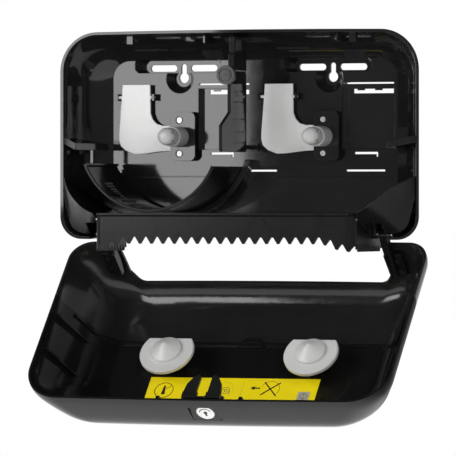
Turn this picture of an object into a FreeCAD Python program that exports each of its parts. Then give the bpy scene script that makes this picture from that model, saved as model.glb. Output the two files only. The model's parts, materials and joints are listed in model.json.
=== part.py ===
import FreeCAD, Part
import math
import os

# Wall-mounted twin roll dispenser with its front cover swung open. Millimetres.
# X to the right, +Y into the wall, +Z up, so the front is towards -Y.
# Shapes are drawn with y = 0 on the wall plane, x = 0 on the centre line and z = 0 at the
# lower edge of the housing rim. Saving moves them down by KEY_Z, so the finished origin is
# the point on the wall plane midway between the two keyholes.
# Cover pieces are drawn shut, then swung open about the hinge axis.

os.makedirs("parts", exist_ok=True)
V = FreeCAD.Vector
SIDES = (("left", -1), ("right", 1))

# ---------------------------------------------------------------- driving dimensions
WIDTH = 360.0            # outer width of housing and cover
HALF_W = WIDTH / 2
HEIGHT = 195.6           # outer height of the rim
BASE_DEPTH = 57.7        # wall plane to the housing rim
COVER_DEPTH = 71.3       # cover rim to the front face
RIM_GAP = 1.0            # gap between the two rims when shut
WALL_T = 2.5             # moulded wall
LOW_CORNER = 0.80        # lower corner radius as a share of the section's nominal radius
TOP_CORNER = 1.40        # upper corner radius, likewise
BOW = 0.9                # outward bow of the rims' top and bottom edges
COVER_RIM_Y = -BASE_DEPTH - RIM_GAP
FACE_Y = COVER_RIM_Y - (COVER_DEPTH - WALL_T)    # inside of the cover's front face

PANEL_Y = -13.7          # front face of the mounting panel
PANEL_T = 2.5
PANEL_HALF_W = 143.5
PANEL_TOP = 169.0
SEAT_Y = PANEL_Y - 0.05  # back of the pieces that sit on the panel

HINGE_Y = -40.9          # cover hinge axis, along X
HINGE_Z = 5.4
OPEN_DEG = 137.5         # how far the cover swings down
PIN_R = 2.5
PIN_CLEAR = 0.08

KEY_X = 75.5             # wall fixing centres, each side
KEY_Z = 152.9
SLOT_Z = 162.1
ROLL_X = 72.4            # roll axes, each side
ROLL_Z = 96.6
SCREW_DZ = 15.87         # bracket screws above and below the roll axis

COLLAR_HALF_W = 130.0    # tear collar, outer
COLLAR_FRONT = -95.0
COLLAR_BACK = -20.0      # rear ends of the collar's side returns
COLLAR_TOP = 24.6
COLLAR_BOTTOM = -12.0
COLLAR_T = 2.4
COLLAR_R = 9.0           # outer corner radius
TOOTH_PITCH = 11.5
TOOTH_H = 6.6

SHUT_R = 69.4            # reserve shutter inner radius
SHUT_T = 2.0
SHUT_OUT = SHUT_R + SHUT_T
SHUT_A0 = 202.0          # shutter spans these angles about the left roll axis
SHUT_A1 = 336.0
SHUT_FRONT = -100.0
SHUT_BACK = -23.0
SHUT_CLEAR_R = 75.2      # the ledge beside the turning shutter stays outside this radius

FEEL_Y = -19.2           # line the feelers rock about
FEEL_Z = 134.3

PART_Z = 67.0            # parting between the upper cover and its window
LOCK_Y = -80.0           # lock axis in the closed pose, vertical
LOCK_TOP = 193.4
LOCK_HALF_X = 14.0       # lock bezel half sizes
LOCK_HALF_Y = 10.0
CAM_REST = -42.0         # turn of the latch cam in degrees
PAD_TRAVEL = 6.0


# ---------------------------------------------------------------- helpers
def box(x0, x1, y0, y1, z0, z1):
    return Part.makeBox(x1 - x0, y1 - y0, z1 - z0, V(x0, y0, z0))


def side_box(side, near, far, *yz):
    """Box between two distances from the centre line, on one side of it."""
    x0, x1 = sorted((side * near, side * far))
    return box(x0, x1, *yz)


def cyl(start, axis, radius, length):
    return Part.makeCylinder(radius, length, V(*start), V(*axis))


def cyl_x(start, radius, length):
    return cyl(start, (1, 0, 0), radius, length)


def cyl_y(start, radius, length):
    return cyl(start, (0, 1, 0), radius, length)


def cyl_z(start, radius, length):
    return cyl(start, (0, 0, 1), radius, length)


def fuse(first, *others):
    out = first
    for shape in others:
        out = out.fuse(shape)
    return out.removeSplitter()


def biggest(shape):
    return max(shape.Solids, key=lambda solid: solid.Volume)


def mirror(shape):
    return shape.mirror(V(0, 0, 0), V(1, 0, 0))


def closed_wire(points):
    return Part.makePolygon(points + [points[0]])


def prism(points, sweep):
    return Part.Face(closed_wire(points)).extrude(sweep)


def prism_x(outline, x0, x1):
    """Solid from a (y, z) outline extruded along X."""
    return prism([V(x0, y, z) for y, z in outline], V(x1 - x0, 0, 0))


def prism_y(outline, y0, y1):
    """Solid from an (x, z) outline extruded along Y."""
    return prism([V(x, y0, z) for x, z in outline], V(0, y1 - y0, 0))


def prism_z(outline, z0, z1):
    """Solid from an (x, y) outline extruded along Z."""
    return prism([V(x, y, z0) for x, y in outline], V(0, 0, z1 - z0))


def turned(roll_x, profile):
    """Solid from a (radius, y) profile turned about a roll axis."""
    face = Part.Face(closed_wire([V(roll_x + r, y, ROLL_Z) for r, y in profile]))
    return face.revolve(V(roll_x, 0, ROLL_Z), V(0, 1, 0), 360)


def about_roll(shape, roll_x, angle):
    return shape.rotate(V(roll_x, 0, ROLL_Z), V(0, 1, 0), angle)


def fillet(shape, radius, wanted):
    """Round the edges whose bounding box passes the test."""
    return shape.makeFillet(radius, [e for e in shape.Edges if wanted(e.BoundBox)])


def fillet_or_sharp(shape, radius, wanted):
    # Guards against the kernel refusing the fillet: the edges then stay sharp.
    try:
        return fillet(shape, radius, wanted)
    except Exception:
        return shape


def arc(start, middle, end):
    return Part.Arc(start, middle, end).toShape()


def rounded_wire(half_w, z0, z1, radius, y, bow=0.0):
    """Rounded rectangle in the plane y: tighter corners below, wider ones above,
    top and bottom bowed outwards."""
    share = 1 - math.sqrt(0.5)
    low, top = radius * LOW_CORNER, radius * TOP_CORNER
    low_mid, top_mid = low * share, top * share

    def at(x, z):
        return V(x, y, z)

    def level(x0, x1, z, rise):
        if bow:
            return arc(at(x0, z), at(0, z + rise), at(x1, z))
        return Part.makeLine(at(x0, z), at(x1, z))

    return Part.Wire([
        level(-half_w + low, half_w - low, z0, -bow),
        arc(at(half_w - low, z0), at(half_w - low_mid, z0 + low_mid), at(half_w, z0 + low)),
        Part.makeLine(at(half_w, z0 + low), at(half_w, z1 - top)),
        arc(at(half_w, z1 - top), at(half_w - top_mid, z1 - top_mid), at(half_w - top, z1)),
        level(half_w - top, -half_w + top, z1, bow),
        arc(at(-half_w + top, z1), at(-half_w + top_mid, z1 - top_mid), at(-half_w, z1 - top)),
        Part.makeLine(at(-half_w, z1 - top), at(-half_w, z0 + low)),
        arc(at(-half_w, z0 + low), at(-half_w + low_mid, z0 + low_mid), at(-half_w + low, z0)),
    ])


def loft(sections, ruled=False):
    """Loft of rounded_wire sections: half width, z0, z1, radius, y, bow."""
    return Part.makeLoft([rounded_wire(*s) for s in sections], True, ruled)


def slot_y(x, z, length, height, y0, y1):
    """Round-ended slot cutter, long way along X, through y0..y1."""
    radius = height / 2
    x0, x1 = x - length / 2 + radius, x + length / 2 - radius
    return fuse(box(x0, x1, y0, y1, z - radius, z + radius),
                cyl_y((x0, y0, z), radius, y1 - y0),
                cyl_y((x1, y0, z), radius, y1 - y0))


def save(name, shape):
    if isinstance(shape, (list, tuple)):
        shape = Part.makeCompound(list(shape))
    shape = shape.copy()
    shape.translate(V(0, 0, -KEY_Z))
    shape.exportStep("parts/%s.step" % name)


def save_pair(name, right):
    save(name + "_right", right)
    save(name + "_left", mirror(right))


# ---------------------------------------------------------------- housing
def housing_walls():
    outer = loft([
        (HALF_W, 0.0, HEIGHT, 27.0, -BASE_DEPTH, BOW),
        (HALF_W - 6.6, 0.4, HEIGHT - 1.0, 27.0, -40.0, BOW),
        (HALF_W - 15.2, 1.6, HEIGHT - 4.0, 26.0, -18.0, BOW),
        (HALF_W - 22.4, 5.0, HEIGHT - 10.0, 24.0, 0.0, BOW),
    ])
    bowl = loft([
        (HALF_W - WALL_T, WALL_T, HEIGHT - WALL_T, 24.5, -BASE_DEPTH - 0.6, BOW),
        (HALF_W - 9.3, 3.0, 188.6, 26.0, -40.0, 0.8),
        (160.5, 4.0, 181.0, 24.0, -24.0, 0.5),
        (150.0, 4.5, 174.0, 18.0, -17.0, 0.2),
        (PANEL_HALF_W, 5.0, PANEL_TOP, 12.0, PANEL_Y, 0.0),
    ])
    # hollow behind the bowl, so the wall is an even thickness
    cavity = loft([
        (HALF_W - 11.2, 4.0, HEIGHT - 4.0, 23.0, -34.0),
        (HALF_W - 17.9, 4.6, HEIGHT - 7.0, 22.5, -18.0),
        (HALF_W - 25.2, 8.0, HEIGHT - 13.0, 21.0, 0.6),
    ], True)
    bowl_back = loft([
        (HALF_W - 2.0, 0.5, 194.0, 26.0, -45.0),
        (HALF_W - 5.5, 0.6, 190.5, 26.0, -38.0),
        (163.6, 0.7, 184.0, 26.0, -22.6),
        (152.6, 0.8, 177.0, 20.0, -14.8),
        (PANEL_HALF_W + 2.6, 1.0, PANEL_TOP + 2.6, 14.0, PANEL_Y + PANEL_T),
    ], True)
    return biggest(outer.cut(bowl).cut(cavity.cut(bowl_back)))


def recess_wire(x, y, flare):
    """Chamfered rectangle round a fixing; flare widens it towards the front."""
    x0, x1 = x - 38.0 - 8.0 * flare, x + 38.5 + 3.5 * flare
    z0, z1 = 157.4, 169.3 + 2.2 * flare
    c = 3.5
    outline = [(x0 + c, z0), (x1 - c, z0), (x1, z0 + c), (x1, z1 - c),
               (x1 - c, z1), (x0 + c, z1), (x0, z1 - c), (x0, z0 + c)]
    return closed_wire([V(px, y, pz) for px, pz in outline])


def with_fixings(shell, x):
    """Step the panel back to the wall round one keyhole and its two slots."""
    front, floor = PANEL_Y - 0.6, -3.0
    flare = (floor - front) / (floor - PANEL_Y)
    hollow = fuse(
        Part.makeLoft([recess_wire(x, floor, 0.0), recess_wire(x, front, flare)], True, True),
        Part.makeCone(14.0 + 0.35, 7.6, floor - front, V(x, front, 151.9), V(0, 1, 0)))
    block_y = PANEL_Y + 0.5
    block = fuse(box(x - 48.5, x + 44.5, block_y, 0, 153.5, 174.0),
                 cyl_y((x, block_y, 151.5), 16.5, -block_y))
    shell = shell.fuse(block).cut(hollow)
    for dx in (-20.5, 20.5):
        shell = shell.cut(slot_y(x + dx, SLOT_Z, 27.0, 6.2, -5, 2))
    neck_r, neck_z = 2.7, 163.5
    return shell.cut(fuse(cyl_y((x, -5, KEY_Z), 4.9, 7),
                          box(x - neck_r, x + neck_r, -5, 2, KEY_Z, neck_z),
                          cyl_y((x, -5, neck_z), neck_r, 7)))


def with_roll_seat(shell, x):
    """Shallow step, vents, windows and screw bosses beside one roll axis."""
    step_x, step_z = x + 16.0, (84.5, 142.5)
    front = PANEL_Y - 1
    through = (-14.5, 1)     # y range of cutters that pass through the panel
    shell = shell.fuse(box(x + 14.5, x + 25.2, PANEL_Y + 1.5, PANEL_Y + 4.4, 83.0, 144.0))
    shell = shell.cut(box(step_x, x + 68.0, front, PANEL_Y + 0.9, *step_z))
    shell = shell.cut(prism_z([(step_x, front), (x + 22.0, front), (x + 22.0, PANEL_Y + 2.3),
                               (step_x, PANEL_Y + 0.9)], *step_z))
    shell = shell.cut(box(x + 16.5, x + 67.5, *through, 145.7, 147.2))
    window = box(x + 27.4, x + 67.0, *through, 136.9, 141.0)
    for dx in (31.0, 48.5):
        window = window.cut(box(x + dx, x + dx + 7.0, -15, 2, 139.6, 142))
    shell = shell.cut(window)
    shell = shell.cut(box(x + 28.4, x + 51.7, *through, 79.9, 81.9))
    shell = shell.cut(box(x + 49.7, x + 51.7, *through, 77.5, 80.5))
    for dz in (-SCREW_DZ, SCREW_DZ):
        shell = shell.fuse(cyl_y((x, PANEL_Y, ROLL_Z + dz), 4.5, -PANEL_Y))
        shell = shell.cut(cyl_y((x, front, ROLL_Z + dz), 1.6, 13.0))
    return shell


def rear_shell():
    shell = housing_walls()
    for _, side in SIDES:
        shell = with_fixings(shell, side * KEY_X)
        shell = with_roll_seat(shell, side * ROLL_X)
    # low slots and a shallow groove across the panel
    for x0, x1 in ((-13.7, 22.9), (92.6, 131.2)):
        shell = shell.cut(box(x0, x1, -14.5, 1, 63.7, 65.4))
    groove_x = PANEL_HALF_W - 3
    shell = shell.cut(box(-groove_x, groove_x, PANEL_Y - 1, PANEL_Y + 0.5, 58.6, 59.4))
    # paper chute opening in the floor, and slots for the cover's hinge arms
    chute_x = COLLAR_HALF_W + 0.4
    shell = shell.cut(box(-chute_x, chute_x, -BASE_DEPTH - 1, PANEL_Y, -2, 8))
    for _, side in SIDES:
        shell = shell.cut(side_box(side, 130.2, 150.0, -BASE_DEPTH - 1, -20.0, -2, 8))
    # small catches and thin ribs under the top wall
    for x in (-112.0, 112.0):
        shell = shell.fuse(box(x - 3, x + 3, -50.0, -44.5, 184.0, 191.5))
    for x in (-35.0, 98.0):
        shell = shell.fuse(box(x - 1, x + 1, -54.0, -30.0, 184.5, 191.0))
    return biggest(shell).removeSplitter()


def bowl_envelope():
    """Space inside the bowl, with a small clearance, carried on past the rim."""
    return loft([
        (HALF_W - 2.8, 2.8, HEIGHT - 2.8, 24.2, -BASE_DEPTH - 45.0),
        (HALF_W - 2.8, 2.8, HEIGHT - 2.8, 24.2, -BASE_DEPTH),
        (HALF_W - 9.8, 3.3, 188.2, 25.6, -40.0),
        (160.0, 4.4, 180.6, 23.6, -24.0),
        (149.5, 4.9, 173.6, 17.6, -17.0),
        (PANEL_HALF_W - 0.4, 5.4, PANEL_TOP - 0.4, 11.6, PANEL_Y - 0.3),
    ], True)


# ---------------------------------------------------------------- tear collar
def collar_block(inset, back, z0, z1):
    """Block with rounded front corners, set in from the collar's outside."""
    half, front = COLLAR_HALF_W - inset, COLLAR_FRONT + inset
    block = prism_z([(-half, back), (-half, front), (half, front), (half, back)], z0, z1)
    return fillet(block, COLLAR_R - inset, lambda b: b.ZLength > 20 and b.YMax < front + 1)


def tip_z(x):
    """Height of the front tooth tips, which drop towards the corners."""
    beyond = abs(x) - 98
    return -4.0 if beyond < 0 else -4.0 - 7.0 * min(1.0, beyond / 20.0)


def front_tooth_cutter():
    teeth, below = 25, -20.0
    start = -TOOTH_PITCH * 12.0
    outline = [(start, below)]
    for i in range(teeth):
        x = start + i * TOOTH_PITCH
        outline += [(x, tip_z(x) + TOOTH_H * 0.5),
                    (x + TOOTH_PITCH * 0.18, tip_z(x + 2) + TOOTH_H),
                    (x + TOOTH_PITCH * 0.32, tip_z(x + 3.5) + TOOTH_H),
                    (x + TOOTH_PITCH * 0.68, tip_z(x + 8)),
                    (x + TOOTH_PITCH * 0.82, tip_z(x + 9.5))]
    outline.append((start + teeth * TOOTH_PITCH, below))
    return prism_y(outline, COLLAR_FRONT - 2, COLLAR_FRONT + 9.0)


def side_tooth_cutter():
    tip, root, below, pitch = -11.0, -5.0, -20.0, 6.9
    y = COLLAR_FRONT + 9.0
    outline = [(y, below)]
    while y < COLLAR_BACK + 6:
        outline += [(y, tip + 2.2), (y + 1.6, root), (y + 2.6, root),
                    (y + 5.2, tip), (y + 6.0, tip)]
        y += pitch
    outline.append((y, below))
    return prism_x(outline, -COLLAR_HALF_W - 2, COLLAR_HALF_W + 2)


def collar_screws():
    """Screws that hold the collar to the cheeks, heads inside the collar."""
    return [fuse(cyl((side * 126.2, y, 19.0), (side, 0, 0), 2.7, 1.4),
                 cyl((side * 127.4, y, 19.0), (side, 0, 0), 1.2, 2.9))
            for _, side in SIDES for y in (-88.0, -70.0)]


def tear_collar(screws):
    """A U of wall with saw teeth along its lower edge."""
    collar = collar_block(0.0, COLLAR_BACK, COLLAR_BOTTOM, COLLAR_TOP)
    collar = collar.cut(collar_block(COLLAR_T, COLLAR_BACK + 1, COLLAR_BOTTOM - 1,
                                     COLLAR_TOP + 1))
    collar = collar.cut(front_tooth_cutter())
    collar = collar.cut(side_tooth_cutter())
    # lip that stands forward along the top
    lip_front, lip_back, lip_low = COLLAR_FRONT - 3.0, COLLAR_FRONT + 1.0, COLLAR_TOP - 3.2
    lip = prism_x([(lip_front, COLLAR_TOP), (lip_front, COLLAR_TOP - 1.6),
                   (COLLAR_FRONT - 0.5, lip_low), (lip_back, lip_low), (lip_back, COLLAR_TOP)],
                  -COLLAR_HALF_W + 4.0, COLLAR_HALF_W - 4.0)
    collar = biggest(collar.fuse(lip)).removeSplitter()
    for screw in screws:
        collar = collar.cut(screw)
    return biggest(collar)


# ---------------------------------------------------------------- chute cheeks and hinges
CHEEK_T = 2.0
# Right cheek stations: x, then y and z of the lip, the foot and the floor's rear end
CHEEK_ROWS = [
    (176.0, -58.6, 59.0, -58.6, 40.0, -30.0, 57.0),
    (170.0, -70.0, 55.0, -58.8, 16.0, -26.0, 50.0),
    (163.0, -83.0, 49.5, -59.0, 8.0, -22.0, 42.0),
    (152.5, -95.0, 40.0, -59.2, 5.0, -18.0, 34.0),
    (141.0, -98.0, 30.0, -59.4, 4.5, -16.0, 27.0),
    (130.4, -98.0, 24.6, -59.6, 4.5, -16.0, 23.0),
]


def vee(lip, foot, rear, t):
    """V section, (y, z): web lip-foot and floor lip-rear, both t thick, open between."""
    centre = [(a + b + c) / 3 for a, b, c in zip(lip, foot, rear)]

    def inner_face(end):
        """Direction from an end to the lip, and the end moved inwards by t."""
        dy, dz = lip[0] - end[0], lip[1] - end[1]
        length = math.hypot(dy, dz)
        ny, nz = -dz / length, dy / length
        if (centre[0] - end[0]) * ny + (centre[1] - end[1]) * nz < 0:
            ny, nz = -ny, -nz
        return (dy / length, dz / length), (end[0] + ny * t, end[1] + nz * t)

    web, web_end = inner_face(foot)
    floor, floor_end = inner_face(rear)
    det = web[0] * -floor[1] + floor[0] * web[1]
    reach = ((floor_end[0] - web_end[0]) * -floor[1]
             + floor[0] * (floor_end[1] - web_end[1])) / det
    crotch = (web_end[0] + web[0] * reach, web_end[1] + web[1] * reach)
    return [lip, foot, web_end, crotch, floor_end, rear]


def spline_rows(rows, steps):
    """Catmull-Rom rows between the stations, so the cheek flows without creases."""
    last = len(rows) - 1
    out = []
    for i in range(last):
        near = (rows[max(0, i - 1)], rows[i], rows[i + 1], rows[min(last, i + 2)])
        for k in range(steps):
            t = k / steps
            out.append([0.5 * (2 * b + (c - a) * t + (2 * a - 5 * b + 4 * c - d) * t * t
                               + (3 * b - a - 3 * c + d) * t ** 3)
                        for a, b, c, d in zip(*near)])
    out.append(rows[-1])
    return out


def chute_cheek(shell, envelope):
    """Fills the corner beside the collar: web in front, sloping floor behind."""
    wires = []
    for x, *yz in spline_rows(CHEEK_ROWS, 4):
        section = vee(tuple(yz[0:2]), tuple(yz[2:4]), tuple(yz[4:6]), CHEEK_T)
        wires.append(closed_wire([V(x, y, z) for y, z in section]))
    cheek = Part.makeLoft(wires, True, True)
    cheek = cheek.cut(box(133.0, 148.0, -100, -20.0, -5, 15.5))    # room for the hinge arm
    return biggest(biggest(cheek.common(envelope)).cut(shell))


def hinge_bracket(cheek):
    """Two knuckle ears, each side of the cover arm, joined by a plate above."""
    knuckle_r, top_half, top_z = 4.6, 7.5, 22.0

    def ear(x0, x1):
        body = fuse(prism_x([(HINGE_Y - knuckle_r, HINGE_Z), (HINGE_Y + knuckle_r, HINGE_Z),
                             (HINGE_Y + top_half, top_z), (HINGE_Y - top_half, top_z)], x0, x1),
                    cyl_x((x0, HINGE_Y, HINGE_Z), knuckle_r, x1 - x0))
        return body.cut(cyl_x((x0 - 1, HINGE_Y, HINGE_Z), PIN_R, x1 - x0 + 2))

    bracket = fuse(ear(130.6, 133.4), ear(144.6, 147.4),
                   box(130.6, 147.4, HINGE_Y - top_half, HINGE_Y + top_half, 19.6, top_z))
    return biggest(bracket.cut(cheek))


def hinge_pin():
    return fuse(cyl_x((130.7, HINGE_Y, HINGE_Z), PIN_R, 17.6),
                cyl_x((147.45, HINGE_Y, HINGE_Z), 3.6, 1.4))


# ---------------------------------------------------------------- fittings in the housing
def side_ledges(shell, envelope):
    """Ledges that close the gap beside each roll; the left one also stops the shutter."""
    slope = prism_y([(-190, 99.5), (-146, 90.0), (-120, 90.0),
                     (-120, 83.8), (-146, 83.8), (-190, 93.3)], -120, 0)
    left = prism_z([(-176.6, -58.2), (-172.0, -64.0), (-147.5, -99.0), (-146.6, -98.0),
                    (-146.6, -18.5), (-158.0, -24.0), (-172.0, -40.0), (-176.6, -56.0)], 60, 120)
    left = left.common(slope)
    post = box(-149.4, -146.6, -57.0, -53.0, 71.5, 84.5)
    left = fuse(left, post).common(envelope)
    left = left.cut(cyl_y((-ROLL_X, -130, ROLL_Z), SHUT_CLEAR_R, 130)).cut(shell)
    right = prism_z([(176.6, -58.2), (172.0, -61.0), (152.0, -66.5), (151.0, -65.5),
                     (151.0, -18.5), (160.0, -24.0), (172.0, -40.0), (176.6, -56.0)], 60, 120)
    right = right.common(mirror(slope)).common(envelope).cut(shell)
    return biggest(left), biggest(right)


def lock_keeper():
    """Tongue under the top wall on the centre line, with an eye for the cam."""
    eye = (-68.0, -53.9, 176.0, 186.8)     # y and z range
    tongue = prism_x([(-41.0, 187.9), (-41.0, 158.0), (-74.0, 158.0), (-74.0, 172.5),
                      (-71.5, 175.0), (-71.5, 189.2), (-57.0, 189.2), (-50.0, 189.2)], -2.8, 2.8)
    tongue = tongue.cut(box(-3, 3, *eye))
    flange = box(-9, 9, -56.5, -42.0, 186.0, 188.4).cut(box(-3.5, 3.5, *eye))
    under_top = loft([
        (HALF_W - 2.9, 2.9, HEIGHT - 3.0, 24.5, -BASE_DEPTH - 30, BOW),
        (HALF_W - 2.9, 2.9, HEIGHT - 3.0, 24.5, -BASE_DEPTH, BOW),
        (HALF_W - 7.4, 3.3, 188.2, 26.0, -40.0, 0.8),
    ])
    return biggest(fuse(tongue, flange).common(under_top))


def center_divider():
    """Plate between the rolls, with a stay back to the panel and grooves on its right."""
    plate = prism_x([(-79.0, 157.6), (-40.0, 157.6), (-38.0, 152.0), (-38.0, 88.5),
                     (SEAT_Y, 88.5), (SEAT_Y, 84.5), (-38.0, 84.5), (-40.0, 81.8),
                     (-99.0, 81.8), (-101.0, 84.0), (-101.0, 106.0), (-79.0, 118.5)], -1.6, 1.6)
    for z in (138.0, 128.0, 112.0, 100.0, 90.0):
        plate = plate.cut(box(0.9, 2.0, -72.0, -44.0, z, z + 1.0))
    return fuse(plate, box(-5, 5, -16.2, SEAT_Y, 82.5, 90.5),
                cyl_y((0, -84.0, 153.2), 3.5, 6.0))


def divider_badge():
    """Round button on the divider's front, with a ring groove in its face."""
    badge = cyl_y((0, -88.0, 153.2), 9.0, 3.9).cut(cyl_y((0, -88.5, 153.2), 6.4, 1.1))
    return badge.fuse(cyl_y((0, -88.0, 153.2), 5.4, 1.5)).removeSplitter()


# ---------------------------------------------------------------- roll supports
def spindle_bracket(x):
    """Plate over the feeler foot, on two legs."""
    plate = box(x - 9.0, x + 16.0, -23.0, -21.0, 73.9, 120.4)
    plate = fillet(plate, 6.0,
                   lambda b: b.YLength > 1.5 and b.XLength < 0.01 and b.ZLength < 0.01)
    legs = fuse(*[box(x - 6.5, x + 13.5, -21.0, SEAT_Y, z0, z1)
                  for z0, z1 in ((74.4, 82.6), (109.6, 119.9))])
    bracket = fuse(plate, legs).cut(cyl_y((x, -24, ROLL_Z), 9.75, 12))
    for dz in (-SCREW_DZ, SCREW_DZ):
        bracket = bracket.cut(cyl_y((x, -24, ROLL_Z + dz), 1.9, 12))
        bracket = bracket.cut(cyl_y((x, -24, ROLL_Z + dz), 3.6, 2.4))
    return biggest(bracket)


def roll_spindle(x):
    """Base, barrel, neck and rounded nose with six notches round it."""
    spindle = turned(x, [
        (0, SEAT_Y), (8.6, SEAT_Y), (8.6, -15.6), (9.5, -16.0), (9.5, -43.0), (8.9, -43.8),
        (8.0, -43.8), (8.0, -45.4), (8.5, -45.8), (8.3, -56.0), (7.6, -58.6), (5.6, -60.8),
        (3.0, -61.8), (0, -62.0)])
    for angle in range(0, 360, 60):
        notch = box(x - 1.0, x + 1.0, -63, -50, ROLL_Z + 7.4, ROLL_Z + 12)
        spindle = spindle.cut(about_roll(notch, x, angle))
    return biggest(spindle)


# Feeler flag outline: x from the roll axis, z
FEELER_OUTLINE = [
    (-58.9, 146.3), (-31.0, 146.3), (-30.6, 119.0), (-28.2, 113.0), (-24.0, 109.0),
    (-18.0, 107.3), (12.0, 107.3), (12.0, 86.0), (-9.7, 83.6), (-20.0, 83.0), (-38.0, 80.8),
    (-47.0, 80.6), (-56.0, 84.0), (-61.0, 88.4), (-62.6, 94.0), (-62.6, 100.0),
]


def roll_feeler(x):
    """Rocker flag whose foot is open round the spindle, with a pivot lug at each side."""
    front, back, bore_r = -20.4, -18.2, 10.9
    flag = prism_y([(x + dx, z) for dx, z in FEELER_OUTLINE], front, back)
    flag = flag.cut(cyl_y((x, -25, ROLL_Z), bore_r, 12))
    flag = flag.cut(box(x + 4.0, x + 13, -25, -10, ROLL_Z - bore_r, ROLL_Z + bore_r))
    lugs = fuse(cyl_x((x - 64.2, FEEL_Y, FEEL_Z), 1.5, 5.0),
                cyl_x((x - 31.0, FEEL_Y, FEEL_Z), 1.5, 4.4))
    flag = fuse(flag, lugs)
    return biggest(fuse(flag, box(x - 58.0, x - 33.0, back, -17.2, 95.0, 96.4)))


def feeler_pivots(x):
    blocks = []
    for x0, x1 in ((x - 65.8, x - 63.2), (x - 28.6, x - 26.0)):
        block = box(x0, x1, -22.0, SEAT_Y, FEEL_Z - 3.2, FEEL_Z + 3.2)
        blocks.append(block.cut(cyl_x((x0 - 1, FEEL_Y, FEEL_Z), 1.56, 6)))
    return blocks


def feeler_spring(x):
    """Flat leaf behind the feeler foot."""
    return prism_x([(SEAT_Y, 88.0), (SEAT_Y, 100.0), (-14.3, 100.0), (-14.5, 95.0),
                    (-18.05, 84.8), (-17.9, 84.4), (-17.6, 84.5), (-14.2, 93.8),
                    (-14.1, 88.0)], x - 46.0, x - 38.0)


def bracket_screws(x):
    """Two cross-head screws, heads to the front."""
    long_half, thin_half = 1.7, 0.35
    screws = []
    for z in (ROLL_Z - SCREW_DZ, ROLL_Z + SCREW_DZ):
        screw = fuse(cyl_y((x, -22.9, z), 2.5, 1.25), cyl_y((x, -21.8, z), 1.55, 17.0))
        for half_x, half_z in ((long_half, thin_half), (thin_half, long_half)):
            screw = screw.cut(box(x - half_x, x + half_x, -23.2, -22.2, z - half_z, z + half_z))
        screws.append(screw)
    return screws


# ---------------------------------------------------------------- reserve shutter
def arc_sheet(r0, r1, a0, a1, y0, y1):
    """Part of a tube about the left roll axis, angles counter-clockwise from +X seen
    from the front."""
    def at(radius, angle):
        t = math.radians(angle)
        return V(-ROLL_X + radius * math.cos(t), y0, ROLL_Z + radius * math.sin(t))

    mid = (a0 + a1) / 2
    wire = Part.Wire([arc(at(r0, a0), at(r0, mid), at(r0, a1)),
                      Part.makeLine(at(r0, a1), at(r1, a1)),
                      arc(at(r1, a1), at(r1, mid), at(r1, a0)),
                      Part.makeLine(at(r1, a0), at(r0, a0))])
    return Part.Face(wire).extrude(V(0, y1 - y0, 0))


def reserve_shutter():
    """Curved sheet with a rear flange that runs in the rail, a stop lip and a front bead."""
    whole = (SHUT_FRONT, SHUT_BACK)
    shutter = fuse(
        arc_sheet(SHUT_R, SHUT_OUT, SHUT_A0, SHUT_A1, *whole),
        arc_sheet(SHUT_R, SHUT_OUT + 2.6, SHUT_A0 + 3, SHUT_A1, SHUT_BACK - 1.8, SHUT_BACK),
        arc_sheet(SHUT_R - 2.0, SHUT_OUT, SHUT_A0, SHUT_A0 + 1.6, *whole),
        arc_sheet(SHUT_R - 1.2, SHUT_OUT, SHUT_A0, SHUT_A1, SHUT_FRONT, SHUT_FRONT + 2.2))
    # short ridges on the inner face
    for angle in (216, 224, 232, 240, 248):
        shutter = shutter.fuse(
            arc_sheet(SHUT_R - 0.8, SHUT_R + 0.2, angle, angle + 1.0, -82.0, -48.0))
    shutter = biggest(shutter).removeSplitter()
    return fillet_or_sharp(
        shutter, 0.95,
        lambda b: b.YLength < 0.01 and b.YMax < SHUT_FRONT + 0.01 and b.XLength > 20)


def shutter_rail(envelope):
    """Arc rail on the panel; lips hold the shutter flange with running clearance."""
    a0, a1 = 207.0, 341.0
    outer, lip_r = SHUT_OUT + 5.6, SHUT_OUT + 0.5
    front = SHUT_BACK - 4.6
    rail = fuse(arc_sheet(SHUT_OUT + 3.1, outer, a0, a1, front, SEAT_Y),
                arc_sheet(lip_r, outer, a0, a1, front, SHUT_BACK - 2.4),
                arc_sheet(SHUT_R + 0.5, outer, a0, a1, SHUT_BACK + 0.6, SHUT_BACK + 2.6),
                arc_sheet(lip_r, outer, a1, a1 + 1.6, front, SEAT_Y))
    return biggest(rail.common(envelope))


# ---------------------------------------------------------------- cover, drawn shut
# Stations: distance in front of the rim, side inset, bottom z, top inset, corner radius
COVER_OUTSIDE = [
    (0, 0.0, 0.0, 0.0, 27.0), (8, 0.5, 0.1, 0.3, 27.3), (24, 7.6, 0.7, 2.2, 28.5),
    (42, 16.6, 2.2, 6.6, 31.0), (57, 25.0, 6.5, 18.6, 34.0), (66, 34.0, 14.0, 29.0, 36.0),
    (COVER_DEPTH, 46.0, 30.0, 39.0, 36.0),
]
COVER_INSIDE = [
    (-0.5, 2.4, 2.4, 2.4, 25.3), (8, 3.0, 2.5, 2.8, 25.5), (23, 10.0, 3.1, 4.7, 26.8),
    (41, 19.0, 4.8, 9.4, 29.0), (55, 27.2, 9.0, 20.8, 32.0), (63.4, 36.0, 16.6, 30.6, 34.0),
    (COVER_DEPTH - WALL_T, 48.0, 32.0, 41.0, 35.0),
]
REBATE_INSIDE = [
    (-0.5, 6.0, 6.0, 6.0, 24.8), (8, 6.6, 6.0, 6.4, 25.0), (23, 12.6, 5.8, 7.2, 26.0),
    (41, 21.5, 7.4, 12.0, 29.0), (55, 29.6, 11.6, 23.2, 32.0), (62.6, 38.0, 18.6, 32.6, 34.0),
    (COVER_DEPTH - 4.2, 49.6, 33.6, 42.6, 35.0),
]
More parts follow.
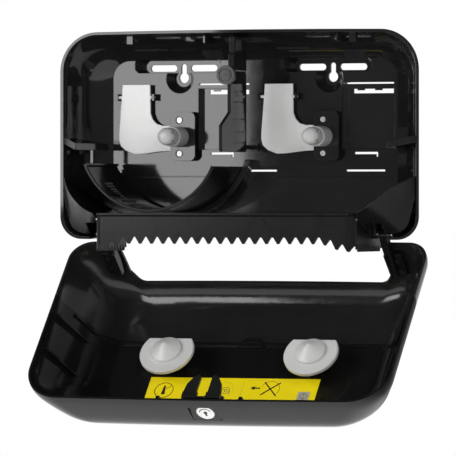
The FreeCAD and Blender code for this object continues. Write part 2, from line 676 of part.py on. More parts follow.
# Limit of the side ribs: distance in front of the rim, side inset
RIB_LIMIT = [(-0.5, 8.0), (8, 8.6), (23, 15.0), (41, 24.0), (55, 33.0)]


def cover_loft(stations):
    return loft([(HALF_W - inset, z0, HEIGHT - top_inset, radius, COVER_RIM_Y - depth, BOW)
                 for depth, inset, z0, top_inset, radius in stations])


def lock_box(gap, z0, z1):
    """Block the size of the lock bezel, widened by gap all round."""
    half_x, half_y = LOCK_HALF_X + gap, LOCK_HALF_Y + gap
    return box(-half_x, half_x, LOCK_Y - half_y, LOCK_Y + half_y, z0, z1)


def cover_halves(skin, inside):
    """Upper cover shell and lower window, split at the parting line."""
    # paper opening, tapering towards the front, and clear of the collar
    rear, z_range = COVER_RIM_Y + 2, (-3.0, 12.0)
    opening = prism_z([(-136.5, rear), (-134.5, -64.0), (-132.4, -97.0), (-124.0, -110.0),
                       (124.0, -110.0), (132.4, -97.0), (134.5, -64.0), (136.5, rear)],
                      *z_range)
    opening = fillet(opening, 10.0, lambda b: b.ZLength > 10 and b.YMax < -105)
    opening = opening.fuse(box(-136.5, 136.5, -64.0, rear, *z_range))
    cover = skin.cut(opening)
    lower = biggest(cover.common(box(-400, 400, -400, 0, -20, PART_Z)))
    upper = biggest(cover.common(box(-400, 400, -400, 0, PART_Z + 0.2, 300)))

    # ribs inside the top wall
    under_ribs = prism_x([(COVER_RIM_Y - dy, z) for dy, z in (
        (70, 178.0), (3.5, 178.0), (3.5, 187.5), (40, 181.5), (70, 181.5))], -200, 200)
    for x in (-44.0, 38.0, 118.0):
        rib = box(x - 1.6, x + 1.6, COVER_RIM_Y - 60.0, COVER_RIM_Y - 4.0, 180.0, 196.0)
        upper = upper.fuse(rib.common(inside).cut(under_ribs))
    # side guide ribs inside both ends
    rib_limit = loft([(HALF_W - inset, -20.0, 260.0, 20.0, COVER_RIM_Y - depth)
                      for depth, inset in RIB_LIMIT], True)
    for _, side in SIDES:
        for z in (86.0, 128.0):
            rib = side_box(side, 150.0, 179.0,
                           COVER_RIM_Y - 46.0, COVER_RIM_Y - 6.0, z, z + 2.2)
            upper = upper.fuse(rib.common(inside).cut(rib_limit))
    # rebated edge that holds the window
    rebate = inside.common(
        box(-166, 166, -200, COVER_RIM_Y - 20, PART_Z + 0.2, PART_Z + 4.0))
    upper = upper.fuse(rebate.cut(cover_loft(REBATE_INSIDE)))
    upper = upper.cut(lock_box(0.4, 176.0, 200.0))
    return biggest(upper).removeSplitter(), lower.removeSplitter()


def window_tab(upper, lower):
    """Half-round tab in the middle of the parting line."""
    slab = (-20, 20, FACE_Y, FACE_Y + 3)
    tab = cyl_y((0, FACE_Y + 0.15, PART_Z + 6.5), 13.0, 1.8)
    tab = tab.common(box(*slab, PART_Z - 5.5, PART_Z + 40)).common(box(*slab, 0, PART_Z + 6))
    return biggest(tab.cut(upper).cut(lower))


def hinge_arm(skin, inside):
    """Right arm: rides inside the cover's bottom wall and reaches back to the pin."""
    x0, x1 = 135.6, 142.6
    arm = prism_x([(HINGE_Y - 4.4, HINGE_Z), (HINGE_Y - 2.0, 9.6), (-52.0, 11.4),
                   (-92.0, 14.5), (-92.0, 9.0), (-62.0, 6.6), (-52.0, 3.4), (HINGE_Y, 1.0)],
                  x0, x1)
    arm = fuse(arm, cyl_x((x0, HINGE_Y, HINGE_Z), 4.5, 7.0),
               box(x0, 151.0, -94.0, -66.0, 6.0, 9.4),
               box(x0, 138.0, -94.0, -62.0, 6.0, 14.5))
    arm = arm.cut(cyl_x((134.0, HINGE_Y, HINGE_Z), PIN_R + PIN_CLEAR, 12))
    keep = fuse(box(130, 160, -64.0, -30, -5, 40),
                box(130, 160, -200, -62.0, -5, 40).common(inside))
    arm = biggest(arm.common(keep))
    return biggest(arm.cut(skin))


def hinge_arm_screws():
    return [fuse(cyl_z((side * 146.2, y, 9.5), 2.9, 1.8), cyl_z((side * 146.2, y, 6.2), 1.3, 3.4))
            for _, side in SIDES for y in (-88.0, -74.0)]


def drilled(shape, screws):
    for screw in screws:
        shape = shape.cut(screw)
    return biggest(shape)


def lock_bezel(skin, upper):
    """Bezel let into the top wall, with a flange beneath it."""
    bezel = fillet(lock_box(0.0, 181.0, LOCK_TOP), 3.0, lambda b: b.ZLength > 5)
    bezel = fuse(bezel, box(-16.5, 16.5, LOCK_Y - 12.0, LOCK_Y + 12.0, 181.0, 183.0))
    bezel = bezel.cut(box(-40, 40, -72.2, 0, 170, 190.2))
    bezel = bezel.cut(cyl_z((0, LOCK_Y, 170), 5.6, 40)).cut(cyl_z((0, LOCK_Y, 190.6), 9.1, 10))
    return biggest(bezel.cut(upper).cut(skin.cut(lock_box(0.2, 150, 220))))


def lock_barrel():
    """Barrel with a keyway in its top and a screw hole below."""
    barrel = fuse(cyl_z((0, LOCK_Y, 190.75), 8.9, 2.3), cyl_z((0, LOCK_Y, 176.2), 5.5, 15.0))
    barrel = barrel.cut(fuse(cyl_z((0, LOCK_Y, 188.5), 1.5, 8),
                             box(-0.7, 0.7, LOCK_Y - 4.4, LOCK_Y, 188.5, 196)))
    return barrel.cut(cyl_z((0, LOCK_Y, 170), 1.25, 14))


def latch_cam():
    """Flat hook on a ring round the barrel. Outline: x, y from the lock axis."""
    z0, z1 = 178.0, 180.4
    hook = prism_z([(x, LOCK_Y + dy) for x, dy in (
        (-5.0, -5), (5.5, -5), (9.5, 3), (10.5, 12), (8.5, 15), (-1.5, 15),
        (-1.5, 12.4), (6.5, 12.2), (6.2, 5), (-5.0, 4.0))], z0, z1)
    bore = cyl_z((0, LOCK_Y, 170), 5.5, 20)
    ring = cyl_z((0, LOCK_Y, z0), 7.4, 2.4).cut(bore)
    cam = biggest(hook.cut(bore).fuse(ring)).removeSplitter()
    return cam.rotate(V(0, LOCK_Y, 0), V(0, 0, 1), CAM_REST)


def cam_screw():
    return fuse(cyl_z((0, LOCK_Y, 174.6), 3.0, 1.55), cyl_z((0, LOCK_Y, 176.0), 1.2, 7.0))


def latch_guide(inside, upper):
    """Pair of horns behind the lock, which lead the keeper tongue in."""
    back, front = COVER_RIM_Y - 1.0, COVER_RIM_Y - 3.6
    horns = [prism_y([(side * x, z) for x, z in (
        (5.6, 184.5), (5.6, 166.0), (8.0, 163.6), (12.0, 166.0), (17.0, 175.0),
        (18.5, 184.5))], back, front) for _, side in SIDES]
    guide = fuse(*horns, box(-19.0, 19.0, front, back, 184.5, 191.4))
    guide = guide.cut(box(-4.4, 4.4, -90, -50, 150, 189.8))
    return biggest(guide.common(inside).cut(upper))


def instruction_label():
    """Thin sheet on the inside of the cover's front face."""
    return box(-90.5, 79.7, FACE_Y + 0.05, FACE_Y + 0.40, 110.4, 152.0)


# ---------------------------------------------------------------- cone pads in the cover
# Side of the pad disc that faces the cover front, at rest
DISC_Y = FACE_Y + 13.05 + PAD_TRAVEL + 0.3


def pad_post(x):
    """Bored post on a foot, with four small fins round it."""
    foot_y = FACE_Y + 0.05
    post = fuse(cyl_y((x, foot_y, ROLL_Z), 13.2, 1.2), cyl_y((x, foot_y, ROLL_Z), 11.0, 13.0))
    post = post.cut(cyl_y((x, FACE_Y - 1, ROLL_Z), 7.6, 20))
    post = post.fuse(cyl_y((x, foot_y, ROLL_Z), 8.0, 1.0))
    for angle in range(0, 360, 90):
        fin = box(x + 10.6, x + 12.9, FACE_Y + 1.0, FACE_Y + 9.0, ROLL_Z - 0.8, ROLL_Z + 0.8)
        post = post.fuse(about_roll(fin, x, angle + 45))
    return post.removeSplitter()


def cone_pad(x):
    """Disc with a flat below, a cone towards the roll and a hollow stem in the post."""
    y = DISC_Y
    disc = cyl_y((x, y, ROLL_Z), 26.5, 3.6)
    disc = disc.cut(box(x - 30, x + 30, y - 1, y + 5, ROLL_Z - 40, ROLL_Z - 16.0))
    disc = fillet_or_sharp(disc, 1.2, lambda b: b.YLength < 0.01 and b.YMin > y + 3)
    cone = turned(x, [(r, y + dy) for r, dy in (
        (0, 1.0), (15.0, 1.0), (15.0, 5.6), (14.2, 6.4), (9.0, 9.4), (4.2, 12.6),
        (2.0, 14.2), (0, 14.6))])
    stem = cyl_y((x, y - 11.5, ROLL_Z), 7.5, 13.0).cut(cyl_y((x, y - 11.6, ROLL_Z), 6.1, 11.2))
    pad = fuse(disc, cone, stem)
    for angle in (90, 210, 330):
        t = math.radians(angle)
        pad = pad.cut(cyl_y((x + 20.6 * math.cos(t), y - 1, ROLL_Z + 20.6 * math.sin(t)),
                            1.6, 3.0))
    return biggest(pad)


def pad_spring(x):
    """Faceted coil between the post floor and the pad stem."""
    y0, y1 = FACE_Y + 1.65, DISC_Y - 0.95
    turns, per_turn, sides = 4, 12, 6
    wire_r, coil_r = 0.55, 5.2
    steps = per_turn * turns
    rings = []
    for i in range(steps + 1):
        t = 2 * math.pi * i / per_turn
        y = y0 + (y1 - y0) * i / steps
        ring = []
        for k in range(sides):
            q = 2 * math.pi * k / sides
            r = coil_r + wire_r * math.cos(q)
            ring.append(V(x + r * math.cos(t), y + wire_r * math.sin(q),
                          ROLL_Z + r * math.sin(t)))
        rings.append(ring)
    triangles = []
    for near, far in zip(rings, rings[1:]):
        for k in range(sides):
            m = (k + 1) % sides
            triangles += [(near[k], near[m], far[m]), (near[k], far[m], far[k])]
    first, last = rings[0], rings[-1]
    for k in range(1, sides - 1):
        triangles += [(first[0], first[k + 1], first[k]), (last[0], last[k], last[k + 1])]
    faces = [Part.Face(closed_wire(list(triangle))) for triangle in triangles]
    spring = Part.Solid(Part.Shell(faces))
    if spring.Volume < 0:
        spring.reverse()
    return spring


# ---------------------------------------------------------------- build and save
def save_housing():
    shell = rear_shell()
    envelope = bowl_envelope()
    save("rear_shell", shell)

    screws = collar_screws()
    save("tear_collar", tear_collar(screws))
    save("collar_screws", screws)

    cheek = chute_cheek(shell, envelope)
    save_pair("chute_cheek", cheek)
    save_pair("hinge_bracket", hinge_bracket(cheek))
    save_pair("hinge_pin", hinge_pin())

    ledge_left, ledge_right = side_ledges(shell, envelope)
    save("side_ledge_left", ledge_left)
    save("side_ledge_right", ledge_right)
    save("lock_keeper", lock_keeper())
    save("center_divider", center_divider())
    save("divider_badge", divider_badge())

    support_screws = []
    for tag, side in SIDES:
        x = side * ROLL_X
        save("spindle_bracket_" + tag, spindle_bracket(x))
        save("roll_spindle_" + tag, roll_spindle(x))
        save("roll_feeler_" + tag, roll_feeler(x))
        save("feeler_pivots_" + tag, feeler_pivots(x))
        save("feeler_spring_" + tag, feeler_spring(x))
        support_screws += bracket_screws(x)
    save("bracket_screws", support_screws)

    save("reserve_shutter", reserve_shutter())
    save("shutter_rail", shutter_rail(envelope))


def save_cover():
    inside = cover_loft(COVER_INSIDE)
    skin = cover_loft(COVER_OUTSIDE).cut(inside)
    upper, lower = cover_halves(skin, inside)
    arm = hinge_arm(skin, inside)
    screws = hinge_arm_screws()
    pieces = {
        "cover_shell": upper,
        "cover_window": drilled(lower, screws),
        "window_tab": window_tab(upper, lower),
        "cover_hinge_arm_right": drilled(arm, screws),
        "cover_hinge_arm_left": drilled(mirror(arm), screws),
        "hinge_arm_screws": Part.makeCompound(screws),
        "lock_bezel": lock_bezel(skin, upper),
        "lock_barrel": lock_barrel(),
        "latch_cam": latch_cam(),
        "cam_screw": cam_screw(),
        "latch_guide": latch_guide(inside, upper),
        "instruction_label": instruction_label(),
    }
    for tag, side in SIDES:
        x = side * ROLL_X
        pieces["pad_post_" + tag] = pad_post(x)
        pieces["cone_pad_" + tag] = cone_pad(x)
        pieces["pad_spring_" + tag] = pad_spring(x)

    for name, shape in pieces.items():
        swung = shape.copy()
        swung.rotate(V(0, HINGE_Y, HINGE_Z), V(1, 0, 0), OPEN_DEG)
        save(name, swung)


save_housing()
save_cover()
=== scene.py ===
# Wall dispenser with its cover swung open and down, showing the roll spindles, shutter,
# divider and the label inside the cover. X runs left to right, -Y is the front, Z is up.
# The frame origin sits at the keyholes. Shapes are in mm in the coordinates of the closed
# pose; the stage, lights and camera are in metres.
import bpy
import bmesh
import json
import math
from mathutils import Vector, Matrix


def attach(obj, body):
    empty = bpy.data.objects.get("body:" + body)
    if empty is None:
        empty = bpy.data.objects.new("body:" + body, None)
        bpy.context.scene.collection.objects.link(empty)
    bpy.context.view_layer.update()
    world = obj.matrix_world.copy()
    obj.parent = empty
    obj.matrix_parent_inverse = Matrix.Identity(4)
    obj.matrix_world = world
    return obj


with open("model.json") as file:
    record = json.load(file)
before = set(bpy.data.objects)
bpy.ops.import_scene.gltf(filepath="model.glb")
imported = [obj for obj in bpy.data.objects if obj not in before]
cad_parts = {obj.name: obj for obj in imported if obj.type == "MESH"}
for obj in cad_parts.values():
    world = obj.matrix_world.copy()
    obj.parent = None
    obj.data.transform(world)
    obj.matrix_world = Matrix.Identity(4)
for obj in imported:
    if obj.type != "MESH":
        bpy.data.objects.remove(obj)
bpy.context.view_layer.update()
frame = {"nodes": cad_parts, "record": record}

scene = bpy.context.scene

MM = 0.001
ORIGIN_Z = -0.1529               # the lower rim edge, measured from the keyholes (m)
HINGE_Y, HINGE_Z = -40.9, 5.4    # hinge axis of the cover, along X
COVER_OPENING = math.radians(137.5)
COVER_INSIDE_Y = -127.5          # inside face of the cover front, closed
CAMERA_TURN = math.radians(21.285)


# ---------------------------------------------------------------- shader tools
class Graph:
    """A cleared node tree with its output node and short ways to add nodes."""

    def __init__(self, owner, output_kind):
        owner.use_nodes = True
        self.tree = owner.node_tree
        self.tree.nodes.clear()
        self.out = self.node(output_kind)

    def feed(self, socket, value):
        """Link a socket, or set a plain value."""
        if isinstance(value, bpy.types.NodeSocket):
            self.tree.links.new(value, socket)
        else:
            socket.default_value = value

    def node(self, kind, inputs=None, **settings):
        made = self.tree.nodes.new("ShaderNode" + kind)
        for key, value in settings.items():
            setattr(made, key, value)
        for key, value in (inputs or {}).items():
            self.feed(made.inputs[key], value)
        return made

    def noise(self, coords, scale, detail=3.0, rough=0.5, distortion=0.0):
        return self.node("TexNoise", {
            "Scale": scale, "Detail": detail, "Roughness": rough,
            "Distortion": distortion, "Vector": coords}).outputs["Fac"]

    def remap(self, value, from_min, from_max, to_min, to_max):
        return self.node("MapRange", {
            "From Min": from_min, "From Max": from_max,
            "To Min": to_min, "To Max": to_max, "Value": value}).outputs["Result"]

    def maths(self, operation, a, b):
        return self.node("Math", {0: a, 1: b}, operation=operation).outputs[0]

    def mix_colour(self, factor, a, b):
        a, b = (v + (1.0,) if isinstance(v, tuple) else v for v in (a, b))
        return self.node("Mix", {0: factor, 6: a, 7: b}, data_type="RGBA").outputs[2]

    def split(self, vector):
        return self.node("SeparateXYZ", {0: vector}).outputs

    def bump(self, strength, distance, height, normal):
        return self.node("Bump", {"Strength": strength, "Distance": distance,
                                  "Height": height, "Normal": normal}).outputs[0]

    def camera_switch(self, seen_by_rest, seen_by_camera):
        """Show the camera one shader and every other ray another."""
        camera_ray = self.node("LightPath").outputs["Is Camera Ray"]
        mixed = self.node("MixShader", {0: camera_ray, 1: seen_by_rest, 2: seen_by_camera})
        self.feed(self.out.inputs[0], mixed.outputs[0])


def moulded(name, dark, light, rough, rough_vary, grain, wear, bevel, waves=0.10, worn=None,
            ior=1.5, subsurface=0.0, cloud=16.0, scratch=0.0, metallic=0.0, glow=0.0,
            outer=False):
    """Moulded plastic or metal: cloudy colour, smudged roughness, fine grain, faint
    waviness, and edges softened over `bevel` metres and worn towards the `worn` colour."""
    material = bpy.data.materials.new(name)
    graph = Graph(material, "OutputMaterial")
    bsdf = graph.node("BsdfPrincipled")
    graph.feed(graph.out.inputs[0], bsdf.outputs[0])
    coords = graph.node("TexCoord").outputs["Object"]
    normal = graph.node("NewGeometry").outputs["Normal"]
    soft_normal = graph.node("Bevel", {"Radius": bevel}, samples=2).outputs[0]

    # an edge is where the softened normal leaves the true one
    agreement = graph.node("VectorMath", {0: soft_normal, 1: normal}, operation="DOT_PRODUCT")
    edges = graph.remap(agreement.outputs["Value"], 0.995, 0.80, 0.0, 1.0)
    clouds = graph.noise(coords, cloud, detail=4.0, rough=0.6, distortion=0.4)
    smudges = graph.noise(coords, cloud * 3.7, detail=5.0, rough=0.65, distortion=0.8)
    patches = graph.noise(coords, 140.0, detail=4.0, rough=0.7)
    worn_edges = graph.maths("MULTIPLY", edges, graph.remap(patches, 0.40, 0.62, 0.0, 1.0))

    colour = graph.mix_colour(graph.remap(clouds, 0.35, 0.68, 0.0, 1.0), dark, light)
    if worn is None:
        worn = tuple(min(1.0, v * 1.6 + 0.012) for v in light)
    colour = graph.mix_colour(graph.maths("MULTIPLY", worn_edges, wear), colour, worn)

    roughness = graph.remap(smudges, 0.30, 0.72, max(0.02, rough - rough_vary),
                            rough + rough_vary)
    if scratch:
        stretched = graph.node("Mapping", {"Scale": (1.0, 1.0, 26.0),
                                           "Rotation": (0.3, 0.5, 0.2), "Vector": coords})
        streaks = graph.noise(stretched.outputs[0], 60.0, detail=3.0, rough=0.7)
        roughness = graph.maths("ADD", roughness,
                                graph.remap(streaks, 0.60, 0.70, 0.0, scratch))
    roughness = graph.maths("ADD", roughness, graph.maths("MULTIPLY", worn_edges, 0.10))
    if outer:
        # the outer side walls are a shade more matt than the polished inside
        side = graph.maths("MULTIPLY", graph.split(coords)[0], graph.split(normal)[0])
        graph.feed(bsdf.inputs["Specular IOR Level"],
                   graph.remap(side, 0.05, 0.14, 0.5, 0.04))
        roughness = graph.maths("ADD", roughness, graph.remap(side, 0.05, 0.14, 0.0, 0.22))

    wavy = graph.bump(waves, 0.0006, graph.noise(coords, 75.0, detail=2.0, rough=0.4),
                      soft_normal)
    grainy = graph.bump(grain, 0.00012, graph.noise(coords, 2600.0, detail=2.0), wavy)
    inputs = {"Base Color": colour, "Roughness": roughness, "IOR": ior,
              "Metallic": metallic, "Normal": grainy}
    # painted light: a non-zero glow makes the surface emit its own colour, so it looks lit
    # although it is no lamp
    if glow:
        inputs.update({"Emission Color": colour, "Emission Strength": glow})
    if subsurface:
        inputs.update({"Subsurface Weight": subsurface, "Subsurface Scale": 1.0,
                       "Subsurface Radius": (0.004, 0.004, 0.0036)})
    for key, value in inputs.items():
        graph.feed(bsdf.inputs[key], value)
    return material


def grey(level, blue=None):
    return (level, level, level if blue is None else blue)


# ---------------------------------------------------------------- materials
MATT_BLACK = dict(dark=grey(0.006, 0.0063), light=grey(0.009, 0.0093), rough_vary=0.05,
                  wear=0.7, worn=grey(0.09))
WHITE = dict(rough_vary=0.06, grain=0.10, waves=0.02, subsurface=0.25)
STEEL = dict(rough_vary=0.07, metallic=1.0)
TURNED_STEEL = dict(STEEL, grain=0.3, wear=0.6, bevel=0.0003, scratch=0.15)
INK = dict(rough=0.42, rough_vary=0.05, grain=0.25, wear=0.2, bevel=0.0001, cloud=60.0)

FINISHES = {
    "housing_black": dict(
        dark=grey(0.0100, 0.0103), light=grey(0.0135, 0.014), rough=0.075, rough_vary=0.025,
        grain=0.03, waves=0.012, wear=0.6, worn=grey(0.05, 0.052), bevel=0.0007, outer=True),
    "cover_black": dict(
        dark=grey(0.0085, 0.0088), light=grey(0.0115, 0.012), ior=1.40, rough=0.12,
        rough_vary=0.03, grain=0.04, waves=0.014, wear=0.6, worn=grey(0.06, 0.062),
        bevel=0.0009, outer=True),
    "window_smoke": dict(
        dark=grey(0.017, 0.0175), light=grey(0.023, 0.024), rough=0.14, rough_vary=0.04,
        grain=0.05, waves=0.016, wear=0.7, worn=grey(0.09, 0.092), bevel=0.0008),
    "collar_black": dict(MATT_BLACK, ior=1.29, rough=0.30, grain=0.30, waves=0.03,
                         bevel=0.0005),
    "cheek_black": dict(MATT_BLACK, ior=1.24, rough=0.24, grain=0.15, waves=0.02,
                        bevel=0.0014),
    "shutter_black": dict(
        dark=grey(0.0045, 0.0048), light=grey(0.007, 0.0073), ior=1.24, rough=0.16,
        rough_vary=0.03, grain=0.05, waves=0.02, wear=0.7, worn=grey(0.08), bevel=0.0005),
    "badge_grey": dict(
        dark=grey(0.020, 0.021), light=grey(0.030, 0.031), rough=0.30, rough_vary=0.05,
        grain=0.2, wear=0.9, worn=grey(0.22), bevel=0.0004),
    "lock_black": dict(
        dark=grey(0.008, 0.0085), light=grey(0.014, 0.0145), rough=0.28, rough_vary=0.05,
        grain=0.25, wear=0.7, worn=grey(0.09), bevel=0.0006),
    "white_plastic": dict(WHITE, dark=grey(0.83, 0.82), light=grey(0.89, 0.88), rough=0.34,
                          wear=0.25, worn=grey(0.88, 0.87), bevel=0.0008),
    "spindle_white": dict(WHITE, dark=grey(0.50), light=grey(0.57, 0.565), rough=0.32,
                          wear=0.30, worn=grey(0.72, 0.71), bevel=0.0007),
    "lock_white": dict(
        dark=grey(0.88, 0.87), light=grey(0.93, 0.92), rough=0.26, rough_vary=0.05,
        grain=0.10, wear=0.35, worn=(0.66, 0.65, 0.63), bevel=0.0005),
    "label_yellow": dict(
        dark=(0.80, 0.64, 0.004), light=(0.86, 0.69, 0.006), rough=0.40, rough_vary=0.05,
        grain=0.20, waves=0.03, wear=0.4, worn=(0.70, 0.60, 0.10), bevel=0.0002, cloud=9.0,
        # painted light: the label glows so that it looks brighter lit than the lamps make it
        glow=0.36),
    "screw_steel": dict(TURNED_STEEL, dark=grey(0.40, 0.41), light=grey(0.52, 0.53),
                        rough=0.32, worn=grey(0.85)),
    "pin_steel": dict(TURNED_STEEL, dark=grey(0.42, 0.43), light=grey(0.55, 0.56),
                      rough=0.30, worn=grey(0.75)),
    "spring_steel": dict(STEEL, dark=grey(0.48, 0.49), light=grey(0.60, 0.61), rough=0.25,
                         grain=0.2, wear=0.5, worn=grey(0.8), bevel=0.0002, scratch=0.10),
    "shutter_print": dict(
        dark=grey(0.05), light=grey(0.11), rough=0.34, rough_vary=0.08, grain=0.3, wear=0.6,
        worn=grey(0.20), bevel=0.0003, cloud=70.0),
    "moulded_mark": dict(
        dark=grey(0.07), light=grey(0.12), rough=0.40, rough_vary=0.08, grain=0.3, wear=0.5,
        worn=grey(0.22), bevel=0.0002, cloud=60.0),
    "lock_ring": dict(
        dark=grey(0.30), light=grey(0.42, 0.41), rough=0.35, rough_vary=0.06, grain=0.2,
        wear=0.5, bevel=0.0001, cloud=60.0),
    "ink_black": dict(INK, dark=grey(0.010), light=(0.020, 0.019, 0.016),
                      worn=grey(0.05, 0.04)),
    "ink_grey": dict(INK, dark=(0.16, 0.15, 0.10), light=(0.24, 0.225, 0.16)),
    "ink_white": dict(INK, dark=(0.60, 0.58, 0.46), light=(0.72, 0.70, 0.58)),
}
materials = {name: moulded(name, **finish) for name, finish in FINISHES.items()}

# CAD pieces whose finish differs from their slot's
FINISH_OVERRIDES = {
    "roll_spindle_left": "spindle_white", "roll_spindle_right": "spindle_white",
    "chute_cheek_left": "cheek_black", "chute_cheek_right": "cheek_black",
    "hinge_arm_screws": "lock_black",
}
slots = {part["node"]: part["material_slot"] for part in frame["record"]["subparts"]}
for name, piece in frame["nodes"].items():
    piece.data.materials.clear()
    piece.data.materials.append(materials[FINISH_OVERRIDES.get(name, slots[name])])


# ---------------------------------------------------------------- shape tools
# Outlines and centres are (x, z); a depth is (y0, y1); all in mm, angles in degrees.
def shift(x, y, z):
    return Matrix.Translation((x, y, z))


TO_FRAME = shift(0, 0, ORIGIN_Z)
TO_OPEN = (TO_FRAME @ shift(0, HINGE_Y * MM, HINGE_Z * MM)
           @ Matrix.Rotation(COVER_OPENING, 4, "X")
           @ shift(0, -HINGE_Y * MM, -HINGE_Z * MM))


def polar(centre, radius, degrees):
    angle = math.radians(degrees)
    return centre[0] + radius * math.cos(angle), centre[1] + radius * math.sin(angle)


def vertex(mesh, x, y, z):
    return mesh.verts.new((x * MM, y * MM, z * MM))


def prism(mesh, outline, depth):
    """Closed prism along Y."""
    low, high = [[vertex(mesh, x, y, z) for x, z in outline] for y in depth]
    mesh.faces.new(low)
    mesh.faces.new(high[::-1])
    for i in range(len(outline)):
        j = (i + 1) % len(outline)
        mesh.faces.new((low[j], low[i], high[i], high[j]))


def ring(mesh, centre, outer, inner, depth, start=0.0, end=360.0, steps=40):
    """Flat ring about a Y axis, or a capped arc of one."""
    full = abs(end - start) >= 359.9
    y0, y1 = depth
    sections = []
    for i in range(steps if full else steps + 1):
        section = []
        for radius, y in ((outer, y0), (outer, y1), (inner, y1), (inner, y0)):
            x, z = polar(centre, radius, start + (end - start) * i / steps)
            section.append(vertex(mesh, x, y, z))
        sections.append(section)
    for i in range(steps):
        a, b = sections[i], sections[(i + 1) % len(sections)]
        for j in range(4):
            k = (j + 1) % 4
            mesh.faces.new((a[j], a[k], b[k], b[j]))
    if not full:
        mesh.faces.new(sections[0])
        mesh.faces.new(sections[-1][::-1])


def bar(mesh, start, end, width, depth):
    """Straight stroke between two points."""
    (x0, z0), (x1, z1) = start, end
    length = math.hypot(x1 - x0, z1 - z0)
    nx = -(z1 - z0) / length * width / 2
    nz = (x1 - x0) / length * width / 2
    prism(mesh, [(x0 + nx, z0 + nz), (x0 - nx, z0 - nz),
                 (x1 - nx, z1 - nz), (x1 + nx, z1 + nz)], depth)


def block(mesh, xs, ys, zs):
    corners = [vertex(mesh, x, y, z) for x in xs for y in ys for z in zs]
    for face in ((0, 1, 3, 2), (4, 6, 7, 5), (0, 4, 5, 1),
                 (2, 3, 7, 6), (0, 2, 6, 4), (1, 5, 7, 3)):
        mesh.faces.new([corners[i] for i in face])


def disc(centre, radius, steps):
    return [polar(centre, radius, 360.0 * i / steps) for i in range(steps)]


def rounded(x0, x1, z0, z1, radius, steps=5):
    """Rectangle outline with rounded corners."""
    left, right, low, high = x0 + radius, x1 - radius, z0 + radius, z1 - radius
    corners = (((right, high), 0), ((left, high), 90), ((left, low), 180), ((right, low), 270))
    return [polar(centre, radius, start + 90.0 * i / steps)
            for centre, start in corners for i in range(steps + 1)]


def add_piece(name, mesh, material, body, matrix, bevel=0.0):
    """Turn the mesh into an object that rides on a body; bevel is in metres."""
    data = bpy.data.meshes.new(name)
    bmesh.ops.recalc_face_normals(mesh, faces=mesh.faces)
    mesh.to_mesh(data)
    mesh.free()
    data.transform(matrix)
    piece = bpy.data.objects.new(name, data)
    scene.collection.objects.link(piece)
    data.materials.append(materials[material])
    if bevel:
        edge = piece.modifiers.new("edge", "BEVEL")
        edge.width = bevel
        edge.segments = 2
        edge.limit_method = "ANGLE"
        edge.angle_limit = math.radians(40)
    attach(piece, body)


# ---------------------------------------------------------------- label pictograms
INK_BACK = COVER_INSIDE_Y + 0.38
INK_FACE = COVER_INSIDE_Y + 0.54


def ink(lift=0.0):
    """Depth of a print; small lifts keep crossing strokes from sharing a face."""
    return INK_BACK, INK_FACE + lift


def over_ink(lift):
    """Depth of a print laid over another."""
    return INK_FACE - 0.02, INK_FACE + lift


def add_print(name, mesh, material):
    add_piece(name, mesh, material, "cover", TO_OPEN)


def label_dial():
    mesh = bmesh.new()
    ring(mesh, (-73.5, 126.5), 9.4, 8.75, ink())
    prism(mesh, [(-74.4, 120.6), (-72.8, 120.4), (-71.6, 131.5), (-75.4, 131.5)], ink())
    bar(mesh, (-71.8, 124.4), (-67.6, 121.2), 0.7, ink())
    add_print("label_dial_icon", mesh, "ink_black")


def label_roll():
    roll_centre = (-11.5, 125.6)
    mesh = bmesh.new()
    for i in range(14):
        dot = polar((-12.5, 124.5), 8.6, 150 + 17 * i)
        prism(mesh, disc(dot, 0.36, 8), ink(-0.05))
    ring(mesh, roll_centre, 4.0, 3.5, ink())
    ring(mesh, roll_centre, 1.7, 1.1, ink(), steps=20)
    bar(mesh, (-8.4, 123.2), (-6.8, 131.0), 0.5, ink())
    add_print("label_roll_icon", mesh, "ink_grey")


def label_cross():
    """Arrow beside a cross with an arc around it."""
    mesh = bmesh.new()
    prism(mesh, [(12.6, 122.3), (16.8, 120.0), (16.8, 121.5), (22.6, 121.7),
                 (22.6, 122.9), (16.8, 123.1), (16.8, 124.6)], ink())
    bar(mesh, (25.4, 114.8), (40.2, 131.6), 1.25, ink(0.05))
    bar(mesh, (41.6, 115.4), (24.4, 130.6), 1.25, ink(0.09))
    ring(mesh, (32.6, 123.0), 9.4, 9.0, ink(-0.04), 200.0, 395.0)
    add_print("label_cross_icon", mesh, "ink_black")


def label_panel():
    """White panel and the line drawing on it."""
    mesh = bmesh.new()
    prism(mesh, rounded(61.5, 73.5, 126.0, 137.5, radius=1.0), ink())
    add_print("label_panel_icon", mesh, "ink_white")
    mesh = bmesh.new()
    ring(mesh, (67.5, 131.4), 3.6, 3.0, over_ink(0.08), steps=24)
    bar(mesh, (67.5, 128.4), (67.5, 134.4), 0.6, over_ink(0.06))
    bar(mesh, (62.6, 136.2), (72.4, 136.2), 0.5, over_ink(0.06))
    add_print("label_panel_lines", mesh, "ink_grey")


def label_rules():
    """Dotted outlines of the printed fields."""
    mesh = bmesh.new()
    for i in range(16):
        for dot in ((-55.0 + 2.0 * i, 113.4), (8.0 + 2.2 * i, 112.8), (4.6, 114.5 + 1.3 * i)):
            prism(mesh, disc(dot, 0.28, 8), ink(-0.06))
    add_print("label_rules", mesh, "ink_grey")


# ---------------------------------------------------------------- lock face
# Local y is the lock axis, which points up when the cover is closed.
LOCK_Y = -80.0
LOCK_TO_OPEN = TO_OPEN @ shift(0, LOCK_Y * MM, 0) @ Matrix.Rotation(math.radians(90), 4, "X")


